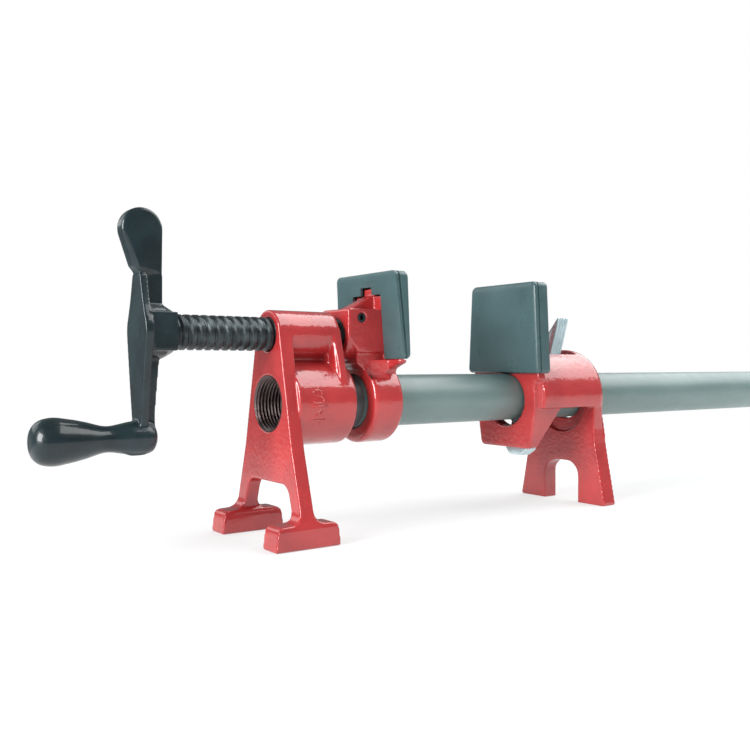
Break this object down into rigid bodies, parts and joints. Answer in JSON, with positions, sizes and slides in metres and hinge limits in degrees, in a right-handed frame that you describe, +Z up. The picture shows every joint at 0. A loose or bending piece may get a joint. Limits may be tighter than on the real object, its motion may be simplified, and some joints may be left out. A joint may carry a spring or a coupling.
{
  "type": "woodworking pipe clamp",
  "caption": "Pipe clamp: crank screw head with a sliding jaw, plastic pads and a clutch tail stop on a 3/4 inch pipe",
  "frame": {"origin": "middle of the footprint's length at bench level, under the pipe's axis", "axes": "+X along the pipe from the crank to the tail end, +Z up, Y across"},
  "size_m": [0.5836, 0.0666, 0.1501],
  "materials": {
    "red_paint": "gloss powder coat on a sand casting",
    "pipe_paint": "satin grey paint on drawn pipe",
    "black_paint": "gloss black paint on a casting",
    "black_oxide": "rolled screw, black oxide, lightly oiled",
    "pin_steel": "black spring pin",
    "pad_plastic": "moulded satin plastic",
    "zinc_plate": "bright zinc plated sheet steel",
    "spring_steel": "zinc plated spring wire"
  },
  "bodies": {
    "root": {"pipe": "pipe_paint", "head_casting": "red_paint"},
    "jaw": {"sliding_jaw": "red_paint", "jaw_pin": "pin_steel", "jaw_pad": "pad_plastic"},
    "screw": {"spindle": "black_oxide", "crank_handle": "black_paint"},
    "tail": {"tail_casting": "red_paint", "tail_pad": "pad_plastic", "clutch_spring": "spring_steel"},
    "clutch_1": {"clutch_plate_1": "zinc_plate"},
    "clutch_2": {"clutch_plate_2": "zinc_plate"},
    "clutch_3": {"clutch_plate_3": "zinc_plate"},
    "clutch_4": {"clutch_plate_4": "zinc_plate"}
  },
  "joints": [
    {"name": "jaw_travel", "type": "slide", "parent": "root", "child": "jaw", "axis": [1, 0, 0], "range_m": [-0.0035, 0.045]},
    {"name": "spindle_turn", "type": "hinge", "parent": "jaw", "child": "screw", "pos_m": [-0.1839, 0, 0.0972], "axis": [1, 0, 0], "range_deg": [-300, 3830]},
    {"name": "tail_slide", "type": "slide", "parent": "root", "child": "tail", "axis": [1, 0, 0], "range_m": [-0.0405, 0.25]},
    {"name": "clutch_tilt_1", "type": "hinge", "parent": "tail", "child": "clutch_1", "pos_m": [-0.00235, 0, 0.0862], "axis": [0, -1, 0], "range_deg": [0, 18], "stiffness_Nm_per_rad": 0.5, "springref_deg": -20.05},
    {"name": "clutch_tilt_2", "type": "hinge", "parent": "tail", "child": "clutch_2", "pos_m": [-0.00014, 0, 0.0862], "axis": [0, -1, 0], "range_deg": [0, 18]},
    {"name": "clutch_tilt_3", "type": "hinge", "parent": "tail", "child": "clutch_3", "pos_m": [0.00207, 0, 0.0862], "axis": [0, -1, 0], "range_deg": [0, 18]},
    {"name": "clutch_tilt_4", "type": "hinge", "parent": "tail", "child": "clutch_4", "pos_m": [0.00427, 0, 0.0862], "axis": [0, -1, 0], "range_deg": [0, 18]}
  ],
  "couplings": [
    {"joint": "spindle_turn", "follows": "jaw_travel", "rad_per_m": 1484.2},
    {"joint": "clutch_tilt_2", "follows": "clutch_tilt_1", "ratio": 1},
    {"joint": "clutch_tilt_3", "follows": "clutch_tilt_1", "ratio": 1},
    {"joint": "clutch_tilt_4", "follows": "clutch_tilt_1", "ratio": 1}
  ]
}
